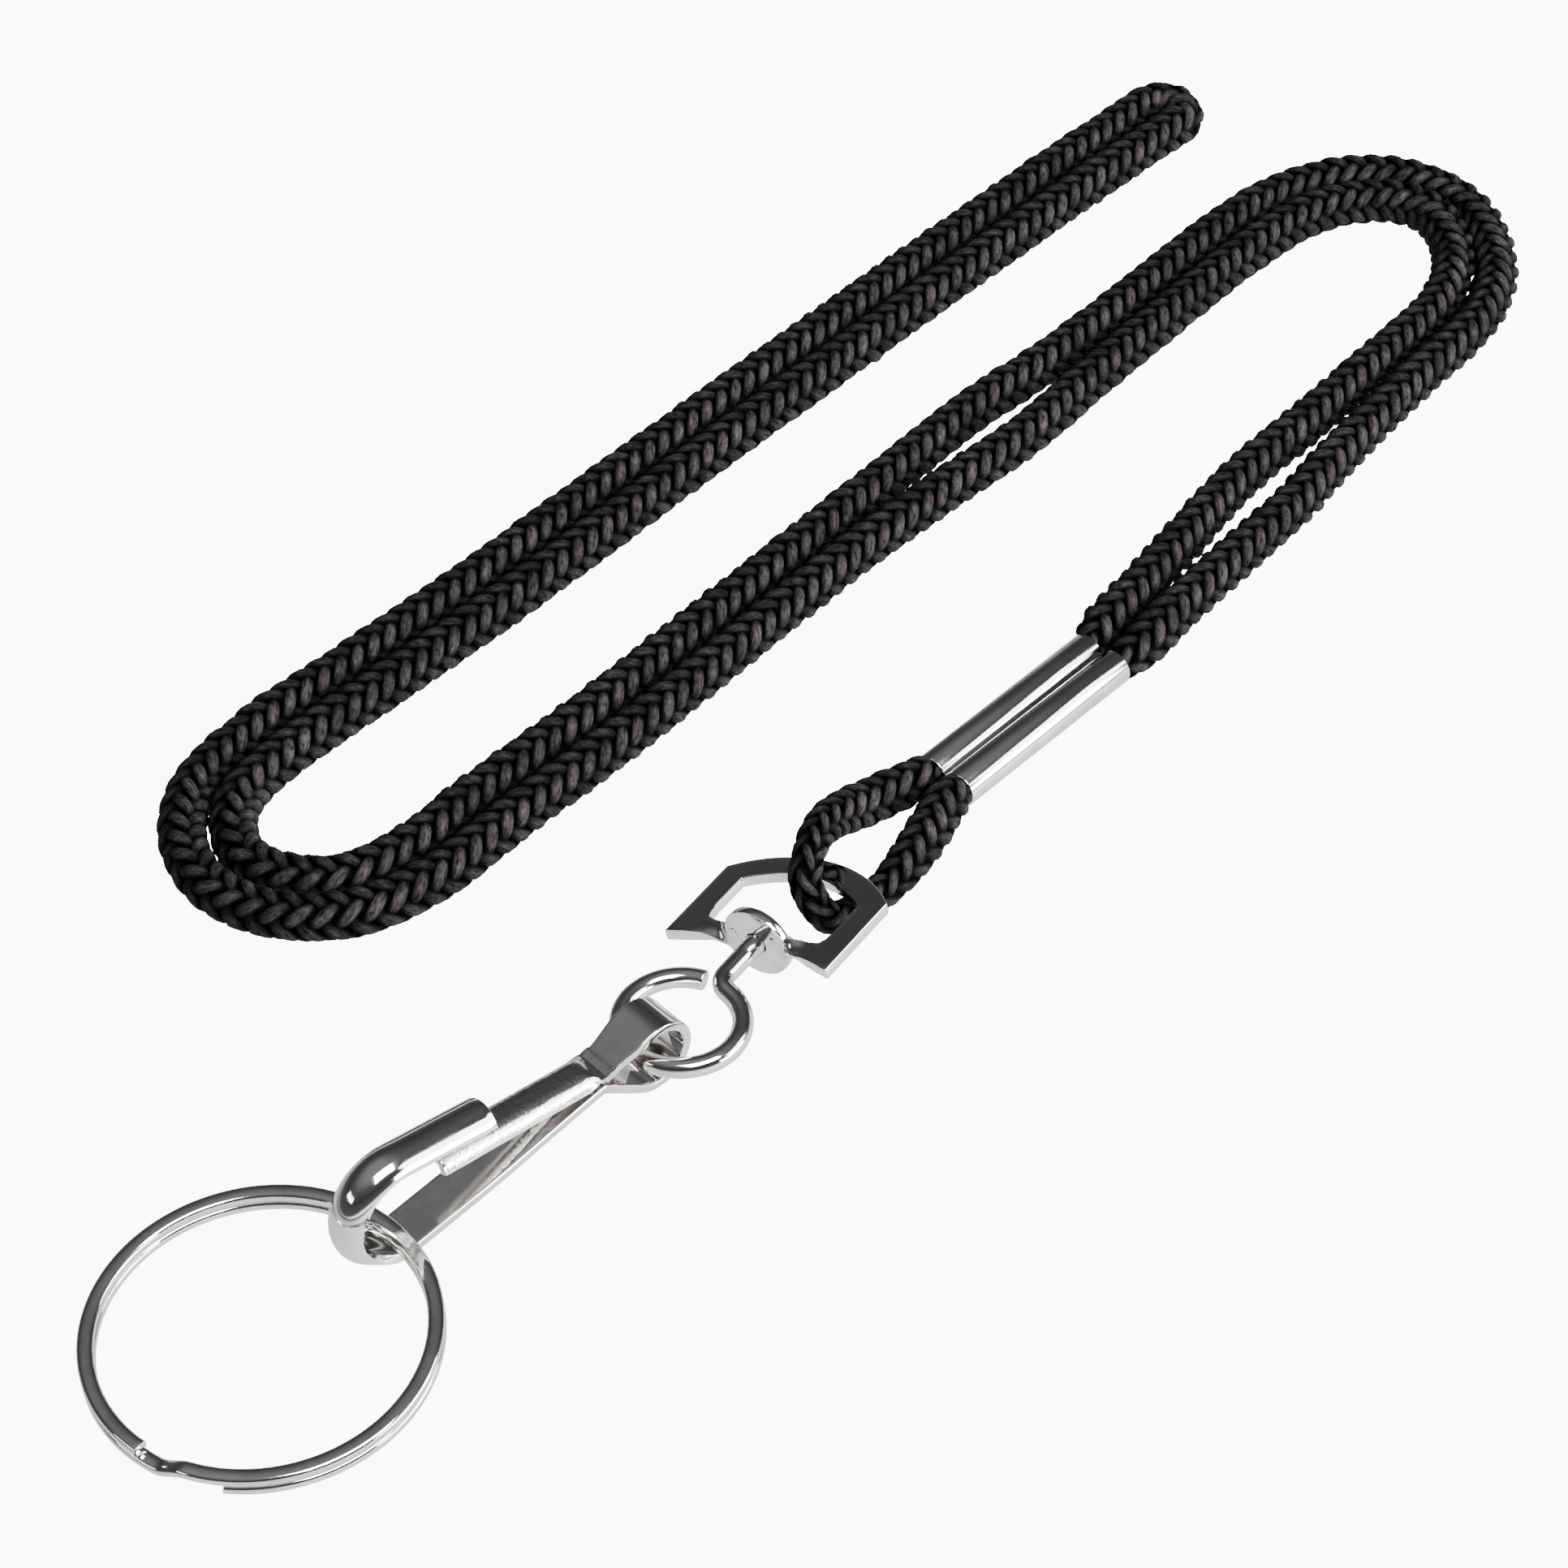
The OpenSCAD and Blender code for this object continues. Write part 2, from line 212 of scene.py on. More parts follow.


# Filaments along a yarn, with painted shade on its edges and where it dives under, and paler crowns that are
# partly wear and partly painted highlight.
def makeYarnGroup():
    group, entry, result = newGroup(
        "braidYarn",
        [("Deep", "NodeSocketColor", (0.0004, 0.0004, 0.0006, 1)),
         ("Wear And Painted Highlight", "NodeSocketColor", (0.1, 0.092, 0.088, 1)),
         ("Filament Scale", "NodeSocketFloat", 9.0), ("Filament Depth", "NodeSocketFloat", 0.5)],
        [("Color", "NodeSocketColor"), ("Roughness", "NodeSocketFloat"), ("Normal", "NodeSocketVector")])
    link = group.links.new
    place = addNode(group, "ShaderNodeUVMap", uv_map="yarnLength")
    stretch = addNode(group, "ShaderNodeMapping", {"Scale": (0.55, 1.0, 1.0), "Rotation": (0, 0, 0.12)})
    threads = addNode(group, "ShaderNodeTexNoise", {"Detail": 3.0, "Roughness": 0.65})
    link(place.outputs["UV"], stretch.inputs["Vector"])
    link(stretch.outputs["Vector"], threads.inputs["Vector"])
    link(entry.outputs["Filament Scale"], threads.inputs["Scale"])
    crown = addNode(group, "ShaderNodeAttribute", attribute_name="crown")
    patch = addNode(group, "ShaderNodeTexNoise", {"Scale": 420.0, "Detail": 3.0})
    objectPlace = addNode(group, "ShaderNodeTexCoord")
    link(objectPlace.outputs["Object"], patch.inputs["Vector"])
    # the crown tone carries painted highlight and painted shade as well as wear
    lift = addNode(group, "ShaderNodeMapRange", {"From Min": 0.62, "From Max": 1.04},
                   interpolation_type="SMOOTHSTEP")
    link(crown.outputs["Fac"], lift.inputs["Value"])
    strandTone = addNode(group, "ShaderNodeMapRange", {"From Min": 0.3, "From Max": 0.75})
    link(threads.outputs["Fac"], strandTone.inputs["Value"])
    patchTone = addNode(group, "ShaderNodeMapRange", {"From Min": 0.35, "From Max": 0.7, "To Min": 0.35})
    link(patch.outputs["Fac"], patchTone.inputs["Value"])
    first = addNode(group, "ShaderNodeMath", operation="MULTIPLY")
    second = addNode(group, "ShaderNodeMath", operation="MULTIPLY")
    link(lift.outputs["Result"], first.inputs[0])
    link(strandTone.outputs["Result"], first.inputs[1])
    link(first.outputs[0], second.inputs[0])
    link(patchTone.outputs["Result"], second.inputs[1])
    tint = addNode(group, "ShaderNodeMix", data_type="RGBA")
    link(second.outputs[0], tint.inputs["Factor"])
    link(entry.outputs["Deep"], tint.inputs[6])
    link(entry.outputs["Wear And Painted Highlight"], tint.inputs[7])
    link(tint.outputs[2], result.inputs["Color"])
    rough = addNode(group, "ShaderNodeMapRange", {"To Min": 0.75, "To Max": 0.5})
    link(threads.outputs["Fac"], rough.inputs["Value"])
    link(rough.outputs["Result"], result.inputs["Roughness"])
    bump = addNode(group, "ShaderNodeBump", {"Distance": 0.00025})
    link(entry.outputs["Filament Depth"], bump.inputs["Strength"])
    link(threads.outputs["Fac"], bump.inputs["Height"])
    link(bump.outputs["Normal"], result.inputs["Normal"])
    return group


yarnGroup = makeYarnGroup()


clothSet = {"Specular IOR Level": 0.03, "Sheen Weight": 0.004, "Sheen Roughness": 0.45,
            "Sheen Tint": (0.75, 0.68, 0.62, 1)}


def makeYarnMaterial(name, values):
    material = bpy.data.materials.new(name)
    material.use_nodes = True
    tree = material.node_tree
    shader = tree.nodes["Principled BSDF"]
    for key, value in clothSet.items():
        shader.inputs[key].default_value = value
    yarn = addNode(tree, "ShaderNodeGroup", node_tree=yarnGroup)
    for key, value in values.items():
        yarn.inputs[key].default_value = value
    tree.links.new(yarn.outputs["Color"], shader.inputs["Base Color"])
    tree.links.new(yarn.outputs["Roughness"], shader.inputs["Roughness"])
    tree.links.new(yarn.outputs["Normal"], shader.inputs["Normal"])
    return material


# Two copies of the one black yarn: the right-hand yarns take a dimmer crown colour, painted shade on their
# column of the plait.
yarnSets = {
    "blackYarn": {"Filament Depth": 0.6, "Wear And Painted Highlight": (0.076, 0.07, 0.068, 1)},
    "paintedShadeYarn": {"Filament Depth": 0.6, "Wear And Painted Highlight": (0.052, 0.048, 0.047, 1)},
}
yarnTone = {name: makeYarnMaterial(name, values) for name, values in yarnSets.items()}
print("materials made")

# Cords, in mm. A yarn's places and widths are shares of the cord's radius.
cordSet = {"diameter": 4.1, "lay": 11.4, "pointsPerLay": 39, "sides": 8, "yarnsEachWay": 6,
           "middle": 0.695, "wave": 0.155, "halfThick": 0.2, "halfWide": 0.255, "wideSwing": 0.04,
           "roundness": 1.1, "core": 0.62, "coreEvery": 6,
           "facing": (-0.514, -0.468, 0.695), "columnTurn": 135,
           "strays": ((0.14, 41.0, 1), (0.08, 17.0, 2)), "seed": 11, "swayEvery": 14,
           "levelSway": 0.012, "thickSway": 0.05,
           # crownMix weighs the painted light and wear on the yarns: a base, the crest where a yarn comes
           # up, and its outward side
           "crownMix": (0.32, 0.34, 0.38), "uvScale": (0.35, 1.4), "pathEvery": 5,
           "ferruleMouth": 10.3, "mouthBack": 0.3, "insideStops": (0.05, 5.0),
           "neckFlare": (11.1, 1.7, 1.8, 1.75), "loopFlare": (11.1, 1.65, 1.8, 1.72),
           "crimpRadius": 1.29, "barrelPitch": 3.0, "barrelHeight": 1.6}
touching = 2.07          # half the distance between strands that lie side by side

# The line between the two strands of the neck cord, and half the distance between them.
neckRoute = [
    (13.5, 0.2, 2.0), (19, 0.9, touching), (27, 1.8, 2.45), (36, 2.8, 2.85), (46, 3.7, 2.35),
    (58, 4.6, touching), (68, 5.4, touching), (73.5, 7.4, 2.02), (77.8, 11, 1.88), (80.3, 15.5, 1.86),
    (80, 20, 1.88), (77, 24, 1.97), (71.5, 26.6, touching), (63, 27.4, touching), (51, 27, touching),
    (38, 26.5, 2.3), (28, 26.4, 2.9), (18, 26.4, 2.5), (4, 26.2, touching), (-10, 25.6, touching),
    (-24, 25, touching), (-37, 25, touching), (-46.5, 24.8, touching), (-52.6, 26.4, touching),
    (-56.3, 30.4, touching), (-57.5, 35, touching), (-55.8, 39.6, touching), (-51.6, 43, touching),
    (-45, 44.2, touching), (-33, 44.1, touching), (-19, 44, touching), (-4, 44.4, touching),
    (12, 44.8, touching), (28, 45, touching), (44, 45.2, touching), (60, 45.2, touching),
    (73, 45, touching)]
neckFold = [(1.4, 2.06), (2.7, 1.2), (3, 0), (2.7, -1.2), (1.4, -2.06)]
neckHeight = 2.07

# The small loop through the yoke: centre of the cord and its radius.
loopRoute = [
    (-12.3, 1.75, 2, 1.92), (-15.6, 2.4, 2.15, 2), (-19, 2.7, 2.95, 1.95), (-22.2, 2.2, 4.3, 1.7),
    (-24.7, 1.2, 5.2, 1.5), (-26.9, 0, 5.45, 1.4), (-28.7, -1.2, 4.8, 1.4), (-29.1, -2.4, 3.5, 1.4),
    (-28.5, -3.6, 2, 1.4), (-26.3, -4.4, 1.6, 1.37), (-23.2, -4.6, 1.65, 1.52), (-19.6, -4.15, 1.95, 1.85),
    (-15.8, -3.1, 2.05, 2), (-12.3, -1.95, 2, 1.92)]


# Directions along a line of points, one at each point.
def headings(points):
    ahead = np.vstack([points[1:], points[-1:]])
    behind = np.vstack([points[:1], points[:-1]])
    step = ahead - behind
    return step / np.linalg.norm(step, axis=1)[:, None]


# One strand's places inside its barrel, from the ferrule's middle to where it flares out of the mouth.
def barrelStops(values, way, side, flare):
    y = side * (values["barrelPitch"] / 2)
    stops = [*values["insideStops"], values["ferruleMouth"] - values["mouthBack"]]
    rows = [(way * x, y, values["barrelHeight"], values["crimpRadius"]) for x in stops]
    return rows + [(way * flare[0], side * flare[1], flare[2], flare[3])]


def neckCordRoute(values):
    centre = np.array([(x, y) for x, y, half in neckRoute], float)
    half = np.array([half for x, y, half in neckRoute], float)
    along = headings(centre)
    across = np.stack([-along[:, 1], along[:, 0]], 1)
    full = values["diameter"] / 2
    rows = []
    for side in (1, -1):
        strand = [(p[0], p[1], neckHeight, full) for p in centre + side * half[:, None] * across]
        rows.append(barrelStops(values, 1, side, values["neckFlare"]) + strand)
    fold = [(centre[-1][0] + f[0], centre[-1][1] + f[1], neckHeight, full) for f in neckFold]
    return np.array(rows[0] + fold + rows[1][::-1], float)


def loopCordRoute(values):
    ends = [barrelStops(values, -1, side, values["loopFlare"]) for side in (1, -1)]
    return np.array(ends[0] + loopRoute + ends[1][::-1], float)


# One smooth curve through the route's points, sampled evenly along its length.
def smoothRoute(points, spacing, samples=60):
    gaps = np.sqrt(np.linalg.norm(np.diff(points[:, :3], axis=0), axis=1))
    slopes = np.zeros_like(points)
    before = (points[1:-1] - points[:-2]) / gaps[:-1, None] * gaps[1:, None]
    after = (points[2:] - points[1:-1]) / gaps[1:, None] * gaps[:-1, None]
    slopes[1:-1] = (before + after) / (gaps[:-1] + gaps[1:])[:, None]
    slopes[0] = (points[1] - points[0]) / gaps[0]
    slopes[-1] = (points[-1] - points[-2]) / gaps[-1]
    dense = []
    for i, gap in enumerate(gaps):
        t = np.linspace(0, 1, samples, endpoint=(i == len(gaps) - 1))[:, None]
        dense.append((2 * t**3 - 3 * t**2 + 1) * points[i] + (t**3 - 2 * t**2 + t) * gap * slopes[i]
                     + (3 * t**2 - 2 * t**3) * points[i + 1] + (t**3 - t**2) * gap * slopes[i + 1])
    dense = np.vstack(dense)
    travel = np.concatenate([[0], np.cumsum(np.linalg.norm(np.diff(dense[:, :3], axis=0), axis=1))])
    stations = np.linspace(0, travel[-1], int(round(travel[-1] / spacing)) + 1)
    return stations, np.stack([np.interp(stations, travel, dense[:, k]) for k in range(4)], 1)


# The skin of a row of oval rings, and the faces that join one ring to the next.
def ringSkin(middle, across, wide, outward, thick, rings):
    skin = (middle[:, None, :]
            + across[:, None, :] * (wide[:, None] * np.cos(rings))[:, :, None]
            + outward[:, None, :] * (thick[:, None] * np.sin(rings))[:, :, None])
    return skin.reshape(-1, 3)


def ringFaces(count, sides, start):
    i = np.arange(count - 1)[:, None] * sides
    j = np.arange(sides)[None, :]
    nextJ = (j + 1) % sides
    quads = np.stack([i + j, i + nextJ, i + sides + nextJ, i + sides + j], 2).reshape(-1, 4)
    return (quads + start).tolist()


# Half of the yarns that run one way round, each passing over two and under two.
# The first part also has the core.
def makeBraid(name, route, values, hand, part, phase):
    stations, line = smoothRoute(route, values["lay"] / values["pointsPerLay"])
    along = headings(line[:, :3])
    right = np.cross([0, 0, 1], along)
    right /= np.linalg.norm(right, axis=1)[:, None]
    up = np.cross(along, right)
    radius = line[:, 3]
    sides, count, yarns = values["sides"], len(stations), values["yarnsEachWay"]
    waves = yarns / 2        # times that a yarn comes to the surface in one turn
    rings = np.arange(sides) * 2 * math.pi / sides
    verts, faces, lengths, crowns = [], [], [], []
    # one column of the plait keeps to the upper near side, and strays a little
    facing = np.array(values["facing"])
    look = np.unwrap(waves * np.arctan2(up @ facing, right @ facing)) / waves
    lean = look - math.radians(values["columnTurn"]) / waves
    for size, spell, shift in values["strays"]:
        lean = lean + size * np.sin(stations / spell + shift * phase)
    wobble = np.random.default_rng(values["seed"] + 2 * hand + part)
    swayStops = max(4, count // values["swayEvery"])
    base, fromCrest, fromTop = values["crownMix"]
    for k in range(part, yarns, 2):
        theta = 2 * math.pi * k / yarns + hand * 2 * math.pi * stations / values["lay"]
        crest = hand * np.cos(waves * theta + math.pi / 4)
        lift = np.tanh(values["roundness"] * crest) / math.tanh(values["roundness"])
        sway = np.interp(stations, np.linspace(0, stations[-1], swayStops), wobble.normal(0, 1, swayStops))
        level = radius * (values["middle"] + values["wave"] * lift + values["levelSway"] * sway)
        turn = theta + lean
        outward = right * np.cos(turn)[:, None] + up * np.sin(turn)[:, None]
        middle = line[:, :3] + level[:, None] * outward
        run = headings(middle)
        outward -= run * np.sum(run * outward, 1)[:, None]
        outward /= np.linalg.norm(outward, axis=1)[:, None]
        across = np.cross(run, outward)
        wide = radius * (values["halfWide"] + values["wideSwing"] * lift)
        thick = radius * values["halfThick"] * (1 + values["thickSway"] * sway)
        start = sum(len(v) for v in verts)
        verts.append(ringSkin(middle, across, wide, outward, thick, rings))
        yarnRun = np.concatenate([[0], np.cumsum(np.linalg.norm(np.diff(middle, axis=0), axis=1))])
        lengths.append(np.repeat(yarnRun, sides))
        # painted light and wear: a yarn is paler where it comes up over the others and on its outward side,
        # with painted shade where it dives under and on its inner side
        wearAndPaintedLight = base + fromCrest * np.repeat(crest, sides) + fromTop * np.tile(np.sin(rings), count)
        crowns.append(np.clip(wearAndPaintedLight, 0, 1))
        faces += ringFaces(count, sides, start)
        faces.append([start + q for q in range(sides - 1, -1, -1)])
        faces.append([start + (count - 1) * sides + q for q in range(sides)])
    if hand == 1 and part == 0:
        start = sum(len(v) for v in verts)
        few = np.arange(0, count, values["coreEvery"])
        thick = radius[few] * values["core"]
        verts.append(ringSkin(line[few, :3], right[few], thick, up[few], thick, rings))
        lengths.append(np.repeat(stations[few], sides))
        # the core has no crown, so it takes the deepest tone, painted shade inside the braid
        crowns.append(np.zeros(len(few) * sides))
        faces += ringFaces(len(few), sides, start)
    mesh = bpy.data.meshes.new(name)
    mesh.from_pydata((np.vstack(verts) * mm).tolist(), [], faces)
    mesh.update()
    flow = np.concatenate(lengths)
    crown = np.concatenate(crowns)
    alongScale, aroundScale = values["uvScale"]
    corner = np.array([loop.vertex_index for loop in mesh.loops])
    uv = mesh.uv_layers.new(name="yarnLength")
    around = (corner % sides) / sides
    places = np.stack([flow[corner] * alongScale, around * aroundScale], 1)
    uv.data.foreach_set("uv", places.astype(np.float32).ravel())
    tone = mesh.attributes.new("crown", "FLOAT", "POINT")
    tone.data.foreach_set("value", crown.astype(np.float32))
    for face in mesh.polygons:
        face.use_smooth = True
    # the right-hand yarns take the dimmer copy, painted shade on their column of the plait
    mesh.materials.append(yarnTone["blackYarn" if hand == -1 else "paintedShadeYarn"])
    piece = bpy.data.objects.new(name, mesh)
    bpy.context.scene.collection.objects.link(piece)
    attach(piece, "cord_end")
    return piece, stations[-1], line[:, :3]


def makeCord(name, route, node, phase):
    for hand, word in ((1, "Right"), (-1, "Left")):
        for part in (0, 1):
            label = name + word + "Yarns" + "AB"[part]
            piece, length, line = makeBraid(label, route, cordSet, hand, part, phase)
    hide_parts(node)
    print(name, "length mm", round(float(length), 1))


makeCord("neckCord", neckCordRoute(cordSet), "neck_cord", 0.4)
makeCord("loopCord", loopCordRoute(cordSet), "loop_cord", 1.7)
print("cords made")

# Ferrule: one sheet crimped into two open barrels, whose outsides meet in a crease.
ferruleSet = {"length": 20.4, "barrel": 1.6, "pitch": 3.0, "wall": 0.25, "sides": 40, "rim": 0.07,
              "merge": 0.001}


def makeFerrule(values):
    half = values["pitch"] / 2
    crease = math.degrees(math.acos(half / values["barrel"]))
    outline = []
    for side, first, last in ((-1, crease, 270), (1, -90, 180 - crease)):
        for k in range(values["sides"] + 1):
            a = math.radians(first + (last - first) * k / values["sides"])
            y = side * half + values["barrel"] * math.cos(a)
            z = values["barrel"] + values["barrel"] * math.sin(a)
            outline.append((-values["length"] / 2, y, z))
    bm = bmesh.new()
    edges = addOutline(bm, outline)[1]
    grown = bmesh.ops.extrude_edge_only(bm, edges=edges)
    farEnd = onlyKinds(grown["geom"], bmesh.types.BMVert)
    bmesh.ops.translate(bm, vec=(values["length"], 0, 0), verts=farEnd)
    bmesh.ops.remove_doubles(bm, verts=bm.verts, dist=values["merge"])
    piece = finishPiece("ferruleBarrels", bm, Matrix.Identity(4), nickel["ferruleNickel"], "cord_end",
                        "ferrule", 50)
    addWall(piece, values["wall"], -1)
    addBevel(piece, values["rim"], 3, 60)


makeFerrule(ferruleSet)
print("ferrule made")

# Swivel yoke: a stamped plate that twists into an upright disc, at a place that it shares with the eye.
swivel = {"place": (-35.0, -1.95, 3.1), "yaw": 8.3, "roll": -16.0}
yokeSet = {"width": 16.0, "tip": -1.9, "armLength": 8.8, "armWidth": 2.2, "archRise": 3.2, "thick": 1.0,
           "discRadius": 3.1, "discThick": 0.9, "hole": 0.91, "innerCorner": 0.9, "discEdge": 2.55,
           "rim": 0.1, "discRound": 0.2, "discSoft": 0.06, "holeRound": 0.12,
           "archSteps": 22, "discSteps": 72}
mergeDistance = 0.0005


def swivelPlace(roll):
    return (Matrix.Translation(swivel["place"]) @ Matrix.Rotation(math.radians(swivel["yaw"]), 4, "Z")
            @ Matrix.Rotation(math.radians(roll), 4, "X"))


# Outer and inner edge of the plate, from one arm's root round the cord bar to the other's.
def yokeSections(values):
    half, inner = values["width"] / 2, values["width"] / 2 - values["armWidth"]
    shoulder = values["tip"] + values["armLength"]
    rise = values["archRise"]
    outerR = (half**2 + rise**2) / (2 * rise)
    innerR = outerR - values["armWidth"]
    centre = shoulder + rise - outerR
    edge = values["discEdge"]
    # the root stands upright in the disc and lies flat by the fifth row
    rows = [((-0.05, edge - 0.9, -1.05), (-0.05, edge - 0.9, 1.05)),
            ((-0.1, edge, -1.0), (0.05, edge, 1.0)),
            ((-0.4, edge + 0.7, -0.72), (0.4, edge + 0.6, 0.72)),
            ((-0.75, edge + 1.5, -0.28), (0.62, edge + 1.2, 0.3)),
            ((-1.15, edge + 2.6, 0), (0.7, edge + 1.9, 0)),
            ((-1.5, edge + 4.0, 0), (0.8, edge + 2.6, 0)),
            ((values["tip"], half, 0), (values["innerCorner"], inner - 0.35, 0)),
            ((values["tip"] + 1.6, half, 0), (values["innerCorner"] + 0.55, inner - 0.1, 0)),
            ((values["tip"] + 3.4, half, 0), (values["innerCorner"] + 1.4, inner, 0)),
            ((shoulder - 2.5, half, 0), (shoulder - 3.0, inner, 0)),
            ((shoulder - 0.15, half, 0), (shoulder - 1.3, inner, 0))]
    outerHalf = math.asin(half / outerR)
    innerHalf = math.asin(inner / innerR)
    armRows = len(rows)
    for k in range(values["archSteps"] + 1):
        s = 1 - 2 * k / values["archSteps"]
        a, b = outerHalf * s, innerHalf * s
        rows.append(((centre + outerR * math.cos(a), outerR * math.sin(a), 0),
                     (centre + innerR * math.cos(b), innerR * math.sin(b), 0)))
    for (ox, oy, oz), (ix, iy, iz) in rows[armRows - 1::-1]:
        rows.append(((ox, -oy, oz), (ix, -iy, iz)))
    return rows


def makeYokePlate(values):
    rows = yokeSections(values)
    bm = bmesh.new()
    bmesh.ops.create_grid(bm, x_segments=len(rows) - 1, y_segments=4, size=1)
    for vert in list(bm.verts):
        k = int(round((vert.co.x + 1) / 2 * (len(rows) - 1)))
        t = (vert.co.y + 1) / 2
        outer, inner = Vector(rows[k][0]), Vector(rows[k][1])
        vert.co = outer.lerp(inner, t)
    piece = finishPiece("yokePlate", bm, swivelPlace(swivel["roll"]), nickel["yokeNickel"],
                        "yoke", "yoke", 40)
    addWall(piece, values["thick"], 0)
    addBevel(piece, values["rim"], 3, 40)


# The upright disc that the wire turns in, with a softened rim and hole.
def makeYokeDisc(values):
    r, hole, h = values["discRadius"], values["hole"], values["discThick"] / 2
    big, soft, lip = values["discRound"], values["discSoft"], values["holeRound"]
    profile = [(-h, hole + lip), (-h, r - big), (-h + soft, r - soft), (-h + big, r), (h - big, r),
               (h - soft, r - soft), (h, r - big), (h, hole + lip), (h - lip, hole), (-h + lip, hole)]
    bm = bmesh.new()
    verts, edges = addOutline(bm, [(x, y, 0) for x, y in profile])
    bmesh.ops.spin(bm, geom=verts + edges, cent=(0, 0, 0), axis=(1, 0, 0), angle=2 * math.pi,
                   steps=values["discSteps"], use_merge=True)
    bmesh.ops.remove_doubles(bm, verts=bm.verts, dist=mergeDistance)
    finishPiece("yokeDisc", bm, swivelPlace(swivel["roll"]), nickel["yokeNickel"],
                "yoke", None, 30)


makeYokePlate(yokeSet)
makeYokeDisc(yokeSet)
print("yoke made")

# Swivel eye: one wire, with a stem through the disc, a neck bend, an open eye and an upset head.
eyeSet = {"wire": 0.85, "eye": 4.8, "neck": 1.6, "centre": -10.65, "end": 12.0, "head": 1.5,
          "headThick": 0.8, "headStart": 0.51, "headCover": 0.3, "tipRound": 0.12, "sides": 28,
          "neckSteps": 16, "eyeSteps": 84, "headSteps": 40}


def makeEye(values):
    neckTurn = math.degrees(math.acos(values["neck"] / (values["neck"] + values["eye"])))
    stemEnd = values["centre"] + (values["neck"] + values["eye"]) * math.sin(math.radians(neckTurn))
    bm = bmesh.new()
    ring = bmesh.ops.create_circle(bm, cap_ends=False, segments=values["sides"], radius=values["wire"],
                                   matrix=Matrix.Rotation(math.pi / 2, 4, "Y"))["verts"]
    bmesh.ops.translate(bm, vec=(values["headStart"] + values["headCover"], 0, 0), verts=ring)
    geom = list(dict.fromkeys(edge for vert in ring for edge in vert.link_edges))
    grown = bmesh.ops.extrude_edge_only(bm, edges=geom)["geom"]
    last = onlyKinds(grown, bmesh.types.BMVert)
    bmesh.ops.translate(bm, vec=(stemEnd - values["headStart"] - values["headCover"], 0, 0), verts=last)
    lastEdges = [edge for edge in onlyKinds(grown, bmesh.types.BMEdge) if all(v in last for v in edge.verts)]
    geom = last + lastEdges
    turn = bmesh.ops.spin(bm, geom=geom, cent=(stemEnd, -values["neck"], 0), axis=(0, 0, 1),
                          angle=math.radians(neckTurn), steps=values["neckSteps"])
    geom = onlyKinds(turn["geom_last"], bmesh.types.BMVert, bmesh.types.BMEdge)
    sweep = 360 + neckTurn - 90 - values["end"]
    turn = bmesh.ops.spin(bm, geom=geom, cent=(values["centre"], 0, 0), axis=(0, 0, 1),
                          angle=-math.radians(sweep), steps=values["eyeSteps"])
    last = onlyKinds(turn["geom_last"], bmesh.types.BMEdge)
    cap = bmesh.ops.edgeloop_fill(bm, edges=last)["faces"]
    rim = [e for f in cap for e in f.edges]
    bmesh.ops.bevel(bm, geom=rim, offset=values["tipRound"], offset_type="OFFSET", affect="EDGES",
                    segments=3, profile=0.5, material=-1)
    first = [e for e in bm.edges if e.is_boundary]
    bmesh.ops.edgeloop_fill(bm, edges=first)
    # the upset head that keeps the wire in the disc
    r, t, x = values["head"], values["headThick"], values["headStart"]
    profile = [(x, 0), (x, r - 0.1), (x + 0.05, r), (x + 0.3, r), (x + 0.55 * t, r * 0.88),
               (x + 0.85 * t, r * 0.6), (x + t, r * 0.25), (x + t * 1.02, 0)]
    verts = [bm.verts.new((px, py, 0)) for px, py in profile]
    edges = [bm.edges.new((verts[k], verts[k + 1])) for k in range(len(verts) - 1)]
    bmesh.ops.spin(bm, geom=verts + edges, cent=(0, 0, 0), axis=(1, 0, 0), angle=2 * math.pi,
                   steps=values["headSteps"], use_merge=True)
    bmesh.ops.remove_doubles(bm, verts=bm.verts, dist=mergeDistance)
    finishPiece("swivelEyeWire", bm, swivelPlace(0), nickel["wireNickel"],
                "eye", "swivel_eye", 40)


makeEye(eyeSet)
print("eye made")

# Hook: one strip with a loop, a leg, a bend and a crowned nose, and the sprung tongue that closes it.
hookSet = {"place": (-74.5347, -1.0407, 0.0), "yaw": -4.65, "width": 3.8, "thick": 0.8, "bend": 4.0,
           "crown": 1.3, "leg": 20.0, "rise": 8.3, "loop": 2.45, "loopPlace": 25.3, "nose": 8.7,
           "drop": 8.4, "neckWidth": 3.1, "widened": 0.7, "rollFrom": 8, "rollTo": 70,
           "hingeGap": 0.45, "rim": 0.12,
           "armSteps": 6, "loopSteps": 28, "legSteps": 20, "bendSteps": 36, "noseSteps": 12, "cells": 14}
gateSet = {"length": 17.0, "width": 3.55, "crown": 1.1, "root": 3.3, "tipHeight": 6.0, "tipPlace": 4.0,
           "thick": 0.62, "rim": 0.1, "lift": 0.4, "flatUntil": 0.9, "crownedFrom": 2.6, "crease": 0.34,
           "creasePlace": 0.95, "creaseLength": 0.42, "steps": 40, "cells": 20, "squareness": 4}


def hookPlace():
    return Matrix.Translation(hookSet["place"]) @ Matrix.Rotation(math.radians(hookSet["yaw"]), 4, "Z")


